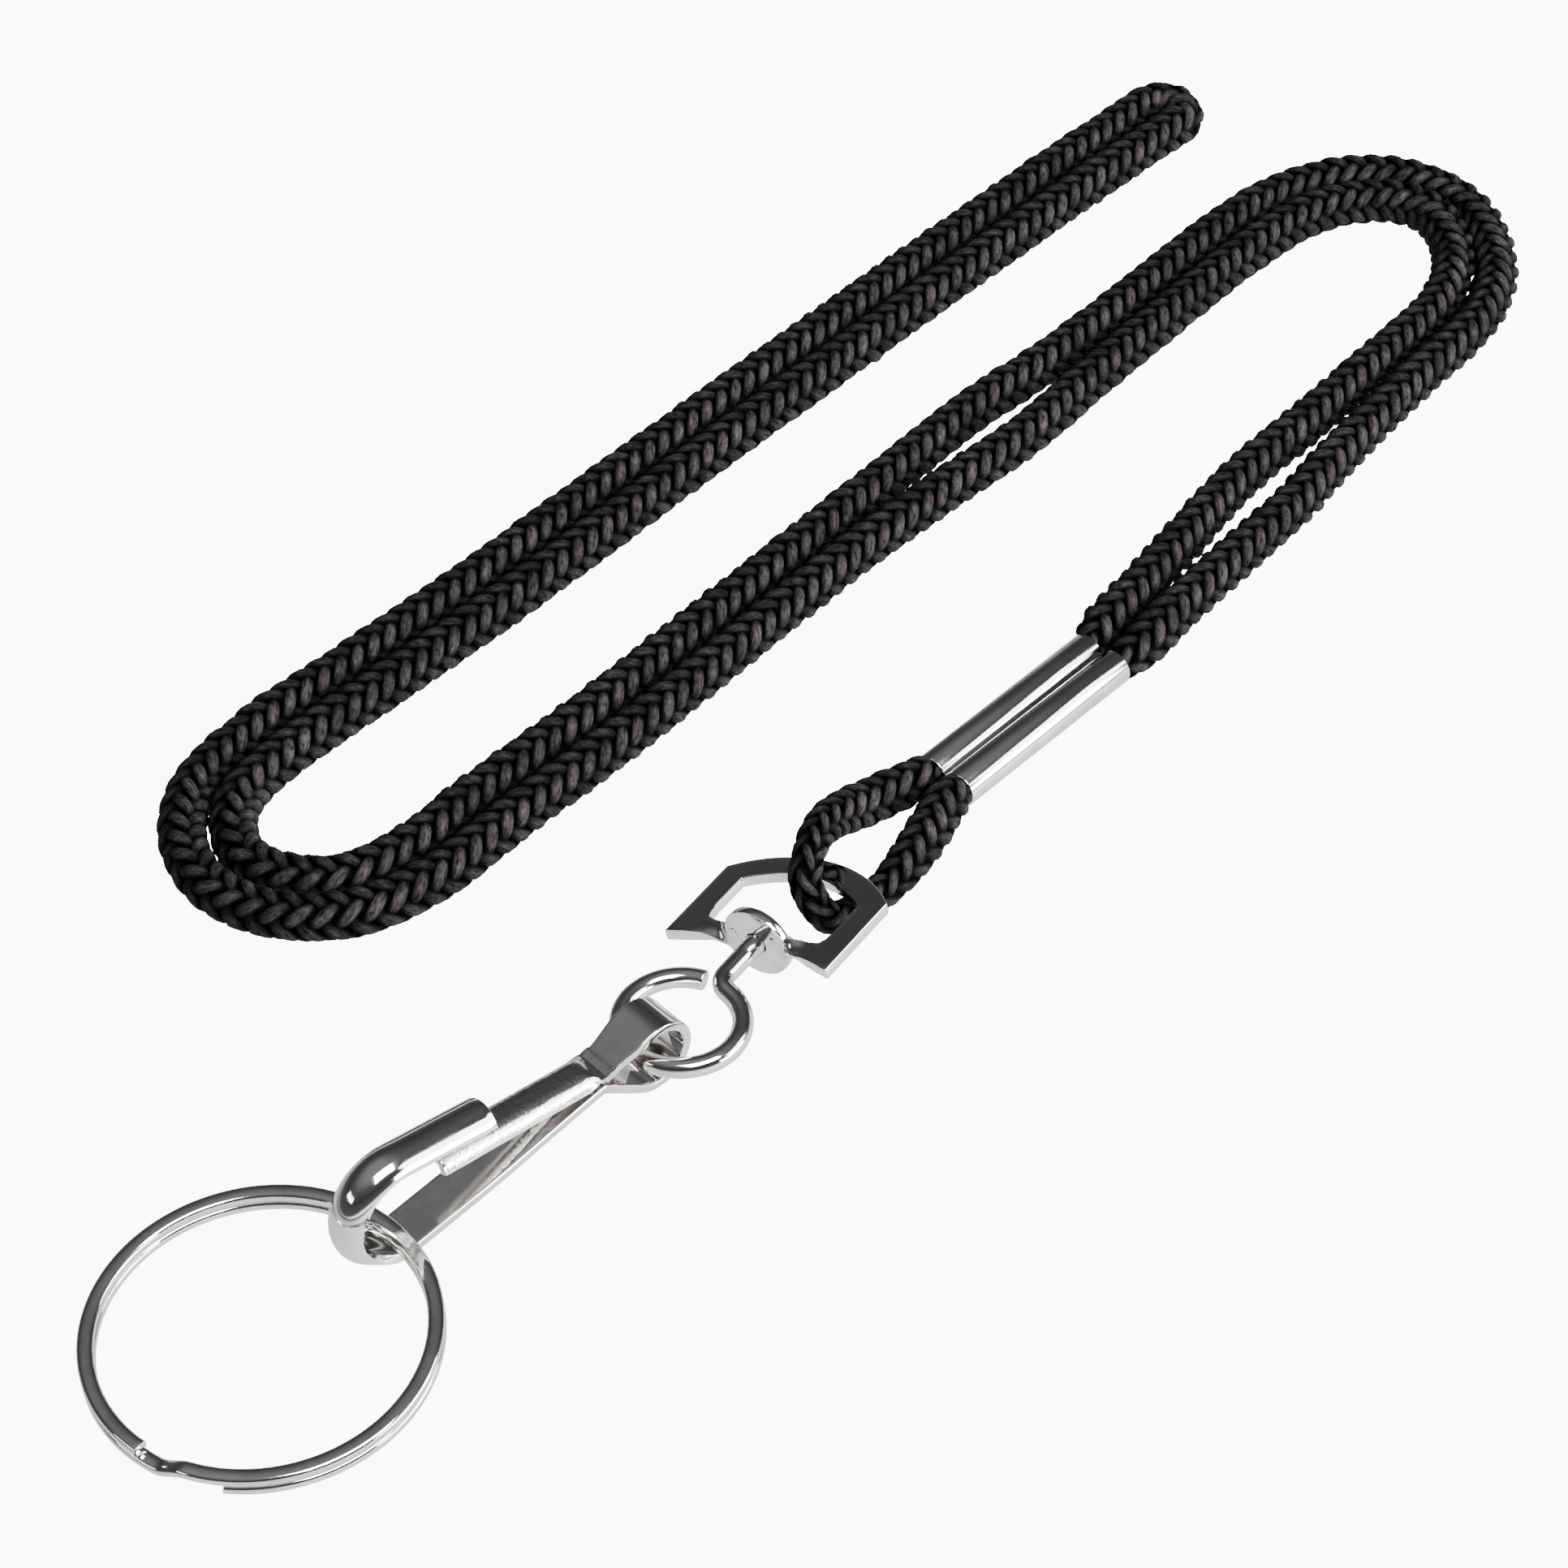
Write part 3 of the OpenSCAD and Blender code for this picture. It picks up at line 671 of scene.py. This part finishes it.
def hookPoints(values):
    mid = values["bend"] + values["thick"] / 2
    bendC = (0.0, values["bend"] + values["thick"])
    rise = math.radians(values["rise"])
    neck = (values["leg"], bendC[1] - mid / math.cos(rise) + values["leg"] * math.tan(rise))
    hinge = (values["leg"] + 1, neck[1] + values["thick"] + values["hingeGap"])
    loopMid = values["loop"] + values["thick"] / 2
    loopC = (values["loopPlace"], values["loop"] + values["thick"])
    return bendC, mid, neck, hinge, loopC, loopMid


# Where a straight run from point meets a circle, as an angle round the circle.
def tangentAngle(point, centre, radius, upper):
    dx, dy = centre[0] - point[0], centre[1] - point[1]
    return math.atan2(dy, dx) + upper * (math.pi - math.acos(radius / math.hypot(dx, dy)))


# Stations along the strip: middle of the strip, half width, crown and base height of its outer face.
def hookStations(values):
    bendC, mid, neck, hinge, loopC, loopMid = hookPoints(values)
    flat, wide, neckHalf = values["thick"] / 2, values["width"] / 2, values["neckWidth"] / 2
    top, low = tangentAngle(hinge, loopC, loopMid, 1), tangentAngle(neck, loopC, loopMid, -1)
    rows = []

    def add(x, z, half, crown, base):
        rows.append((x, z, half, crown, base))

    start = (loopC[0] + loopMid * math.cos(top), loopC[1] + loopMid * math.sin(top))
    for k in range(values["armSteps"]):
        t = k / values["armSteps"]
        add(hinge[0] + (start[0] - hinge[0]) * t, hinge[1] + (start[1] - hinge[1]) * t,
            neckHalf + (wide - neckHalf) * blendStep(0, 1, t), 0, flat)
    for k in range(values["loopSteps"] + 1):
        a = top + (low - top) * k / values["loopSteps"]
        add(loopC[0] + loopMid * math.cos(a), loopC[1] + loopMid * math.sin(a), wide, 0, flat)
    end = (loopC[0] + loopMid * math.cos(low), loopC[1] + loopMid * math.sin(low))
    for k in range(1, values["armSteps"]):
        t = k / values["armSteps"]
        add(end[0] + (neck[0] - end[0]) * t, end[1] + (neck[1] - end[1]) * t,
            wide + (neckHalf - wide) * blendStep(0, 1, t), 0, flat)
    legEnd = -math.pi / 2 + math.radians(values["rise"])
    foot = (bendC[0] + mid * math.cos(legEnd), bendC[1] + mid * math.sin(legEnd))
    for k in range(values["legSteps"] + 1):
        t = k / values["legSteps"]
        add(neck[0] + (foot[0] - neck[0]) * t, neck[1] + (foot[1] - neck[1]) * t,
            neckHalf + (wide - neckHalf) * blendStep(0, values["widened"], t), 0, flat)
    last = math.radians(90 - values["drop"]) - 2 * math.pi
    for k in range(1, values["bendSteps"] + 1):
        a = legEnd + (last - legEnd) * k / values["bendSteps"]
        s = blendStep(math.radians(values["rollFrom"]), math.radians(values["rollTo"]), legEnd - a)
        # the inner face stays on the bend's radius while the strip rolls into a crowned channel
        base = (values["bend"] + values["thick"] * (1 - s)) - mid
        add(bendC[0] + mid * math.cos(a), bendC[1] + mid * math.sin(a), wide, values["crown"] * s, base)
    tip = rows[-1]
    dx, dz = math.cos(math.radians(-values["drop"])), math.sin(math.radians(-values["drop"]))
    for k in range(1, values["noseSteps"] + 1):
        d = values["nose"] * k / values["noseSteps"]
        add(tip[0] + dx * d, tip[1] + dz * d, wide, values["crown"], tip[4])
    return rows


# The outer face of a bent strip, as a grid that follows the stations. Squareness gives it a flatter top.
def stripGrid(bm, rows, cells, squareness=0):
    bmesh.ops.create_grid(bm, x_segments=len(rows) - 1, y_segments=cells, size=1)
    last = len(rows) - 1
    for vert in list(bm.verts):
        k = int(round((vert.co.x + 1) / 2 * last))
        v = vert.co.y
        x, z, half, crown, base = rows[k]
        before, after = rows[max(0, k - 1)], rows[min(last, k + 1)]
        dx, dz = after[0] - before[0], after[1] - before[1]
        size = math.hypot(dx, dz)
        nx, nz = -dz / size, dx / size
        if squareness:
            v = math.sin(v * math.pi / 2)
            side, height = half * v, crown * (1 - abs(v)**squareness)
        elif crown > 0.01:
            r = (half**2 + crown**2) / (2 * crown)
            a = math.asin(min(1.0, half / r)) * v
            side, height = r * math.sin(a), r * math.cos(a) - (r - crown)
        else:
            side, height = half * v, 0.0
        vert.co = (x + nx * (base + height), -side, z + nz * (base + height))


def makeHookStrip(values):
    bm = bmesh.new()
    stripGrid(bm, hookStations(values), values["cells"])
    piece = finishPiece("hookStrip", bm, hookPlace(), nickel["hookNickel"],
                        "hook", "hook_body", 60)
    addWall(piece, values["thick"], -1)
    addBevel(piece, values["rim"], 3, 45)


# The sprung tongue, creased at its root and crowned along its length.
def makeGate(values, gate):
    hinge = hookPoints(values)[3]
    lift = gate["lift"]
    reach = (gate["tipPlace"] - hinge[0], gate["tipHeight"] + lift - hinge[1])
    size = math.hypot(*reach)
    ux, uz = reach[0] / size, reach[1] / size
    rows = []
    for k in range(gate["steps"] + 1):
        d = gate["length"] * k / gate["steps"]
        s = blendStep(gate["flatUntil"], gate["crownedFrom"], d)
        half = gate["root"] / 2 + (gate["width"] - gate["root"]) / 2 * s
        dip = gate["crease"] * math.exp(-((d - gate["creasePlace"]) / gate["creaseLength"])**2)
        rows.append((hinge[0] + ux * d, hinge[1] + uz * d, half, gate["crown"] * s,
                     lift * (1 - s) - lift * s - dip))
    rows.reverse()
    bm = bmesh.new()
    stripGrid(bm, rows, gate["cells"], gate["squareness"])
    piece = finishPiece("gateTongue", bm, hookPlace(), nickel["gateNickel"],
                        "gate", "spring_gate", 60)
    addWall(piece, gate["thick"], -1)
    addBevel(piece, gate["rim"], 3, 45)


makeHookStrip(hookSet)
makeGate(hookSet, gateSet)
print("hook made")

# Split ring: two turns of one wire, which steps from the upper turn to the lower in the joggle.
ringSet = {"diameter": 27.0, "wide": 1.3, "turn": 0.93, "gap": 0.04, "joggle": 191.0, "span": 8.0, "ease": 2,
           "upperStop": 352.0, "lowerStart": 22.0, "sides": 28, "squareness": 0.72, "tipRound": 0.06,
           "upperSteps": 170, "joggleSteps": 12, "lowerSteps": 168,
           "link": (-75.2324, -0.9839, 2.5011), "yaw": 1.5}


def makeRing(values):
    meanR = values["diameter"] / 2 - values["wide"] / 2
    height = 2 * values["turn"] + values["gap"]
    tilt = math.asin((values["link"][2] - height / 2) / (2 * meanR))
    place = (Matrix.Translation(values["link"]) @ Matrix.Rotation(math.radians(values["yaw"]), 4, "Z")
             @ Matrix.Rotation(-tilt, 4, "Y") @ Matrix.Translation((-meanR, 0, 0))
             @ Matrix.Rotation(math.radians(values["joggle"]), 4, "Z"))
    w, h = values["wide"] / 2, values["turn"] / 2
    up = values["gap"] / 2 + h
    bm = bmesh.new()
    profile = []
    for k in range(values["sides"]):
        c = math.cos(2 * math.pi * k / values["sides"])
        z = math.sin(2 * math.pi * k / values["sides"])
        profile.append((meanR + math.copysign(w * abs(c)**values["squareness"], c), 0,
                        up + math.copysign(h * abs(z)**values["squareness"], z)))
    verts, edges = addOutline(bm, profile)
    turnToStart = Matrix.Rotation(math.radians(values["upperStop"]), 3, "Z")
    bmesh.ops.rotate(bm, cent=(0, 0, 0), matrix=turnToStart, verts=verts)
    firstEdges = list(edges)
    geom = verts + edges

    def turnBy(geom, degrees, steps, drop):
        made = bmesh.ops.spin(bm, geom=geom, cent=(0, 0, 0), axis=(0, 0, 1), dvec=(0, 0, drop),
                              angle=-math.radians(degrees), steps=steps)
        return onlyKinds(made["geom_last"], bmesh.types.BMVert, bmesh.types.BMEdge)

    ease, steps = values["ease"], values["joggleSteps"]
    geom = turnBy(geom, values["upperStop"] - values["span"] - ease, values["upperSteps"], 0)
    before = 0.0
    for k in range(1, steps + 1):
        now = blendStep(0, 1, k / steps) * 2 * up
        geom = turnBy(geom, (values["span"] + 2 * ease) / steps, 1, before - now)
        before = now
    geom = turnBy(geom, 360 - values["lowerStart"] - ease, values["lowerSteps"], 0)
    ends = [firstEdges, onlyKinds(geom, bmesh.types.BMEdge)]
    for loop in ends:
        cap = bmesh.ops.edgeloop_fill(bm, edges=loop)["faces"]
        rim = [edge for face in cap for edge in face.edges]
        bmesh.ops.bevel(bm, geom=rim, offset=values["tipRound"], offset_type="OFFSET", affect="EDGES",
                        segments=2, profile=0.5, material=-1)
    finishPiece("splitRingTurns", bm, place, nickel["ringNickel"], "ring", "split_ring", 40)


makeRing(ringSet)
print("ring made")

# Floor and room: size in metres, depth of the floor below the lanyard in mm.
stageSet = {"size": 3.0, "depth": 70.0, "floor": (0.5, 0.5, 0.5, 1), "floorRough": 0.8, "floorShine": 0.1,
            "glow": 9.0, "sky": 2.6, "overhead": 0.042, "horizon": (0.02, 0.14), "blue": 1.04,
            "overheadTones": [(0.5, 0.02), (0.75, 0.035), (1.0, 0.1)],
            "dimSide": (-0.67, 0.74, 0), "dimFrom": -0.1, "dimTo": 0.7, "dimming": 0.12}


def makeStage(values):
    bm = bmesh.new()
    bmesh.ops.create_grid(bm, x_segments=1, y_segments=1, size=values["size"])
    # low enough for the hook and ring to swing down in view
    bmesh.ops.translate(bm, vec=(0, 0, -values["depth"] * mm), verts=bm.verts)
    mesh = bpy.data.meshes.new("paleFloor")
    bm.to_mesh(mesh)
    bm.free()
    floor = bpy.data.objects.new("paleFloor", mesh)
    bpy.context.scene.collection.objects.link(floor)
    material = bpy.data.materials.new("paleFloor")
    material.use_nodes = True
    shader = material.node_tree.nodes["Principled BSDF"]
    shader.inputs["Base Color"].default_value = values["floor"]
    shader.inputs["Roughness"].default_value = values["floorRough"]
    shader.inputs["Emission Color"].default_value = (1, 1, 1, 1)
    # the floor is lit to white where it is seen, and stays greyer in the plating
    seen = material.node_tree.nodes.new("ShaderNodeLightPath")
    glow = addNode(material.node_tree, "ShaderNodeMath", {1: values["glow"]}, operation="MULTIPLY")
    material.node_tree.links.new(seen.outputs["Is Camera Ray"], glow.inputs[0])
    material.node_tree.links.new(glow.outputs[0], shader.inputs["Emission Strength"])
    shader.inputs["Specular IOR Level"].default_value = values["floorShine"]
    mesh.materials.append(material)


# A white room with a darker patch overhead, so that plated faces turned up read as grey.
def makeSky(values):
    world = bpy.data.worlds.new("studioSky")
    bpy.context.scene.world = world
    world.use_nodes = True
    tree = world.node_tree
    back = tree.nodes["Background"]
    place = tree.nodes.new("ShaderNodeTexCoord")
    split = tree.nodes.new("ShaderNodeSeparateXYZ")
    ramp = tree.nodes.new("ShaderNodeValToRGB")
    low, high = ramp.color_ramp.elements
    low.position, high.position = values["horizon"]
    low.color = (1, 1, 1, 1)
    high.color = (values["overhead"], values["overhead"], values["overhead"] * values["blue"], 1)
    for position, tone in values["overheadTones"]:
        step = ramp.color_ramp.elements.new(position)
        step.color = (tone, tone, tone * values["blue"], 1)
    tree.links.new(place.outputs["Generated"], split.inputs[0])
    # the far left of the room is dim, so that each side turned to it goes dark
    away = addNode(tree, "ShaderNodeVectorMath", {1: values["dimSide"]}, operation="DOT_PRODUCT")
    tree.links.new(place.outputs["Generated"], away.inputs[0])
    dim = addNode(tree, "ShaderNodeMapRange", {"From Min": values["dimFrom"], "From Max": values["dimTo"],
                                               "To Max": values["dimming"]})
    tree.links.new(away.outputs["Value"], dim.inputs["Value"])
    height = addNode(tree, "ShaderNodeMath", operation="ADD")
    tree.links.new(split.outputs["Z"], height.inputs[0])
    tree.links.new(dim.outputs["Result"], height.inputs[1])
    tree.links.new(height.outputs[0], ramp.inputs["Fac"])
    tree.links.new(ramp.outputs["Color"], back.inputs["Color"])
    back.inputs["Strength"].default_value = values["sky"]


# Lights: place in mm, size in metres, power in watts. A panel that isn't soft only shows in the plating.
lightSet = {
    "topSoftbox": {"place": (80, -620, 520), "size": (0.5, 0.35), "power": 26.0, "mirrored": False},
    "mirrorPanel": {"place": (-60, -420, 850), "size": (0.6, 0.45), "power": 26.0, "soft": False},
    "flankPanel": {"place": (485, -510, 440), "size": (0.5, 0.32), "power": 5.0, "soft": False},
    "rightSoftbox": {"place": (350, -650, 190), "size": (0.6, 0.25), "power": 11.0},
    "leftStrip": {"place": (-750, 250, 380), "size": (0.5, 0.12), "power": 1.5},
}


def makeLight(name, place, size, power, mirrored=True, soft=True, target=(0, 15, 0)):
    data = bpy.data.lights.new(name, "AREA")
    data.shape = "RECTANGLE"
    data.size, data.size_y = size
    data.energy = power
    light = bpy.data.objects.new(name, data)
    light.location = Vector(place) * mm
    light.rotation_euler = (Vector(target) * mm - light.location).to_track_quat("-Z", "Y").to_euler()
    light.visible_glossy, light.visible_diffuse = mirrored, soft
    bpy.context.scene.collection.objects.link(light)


makeStage(stageSet)
makeSky(stageSet)
for lightName, lightValues in lightSet.items():
    makeLight(lightName, **lightValues)
print("stage and light made")
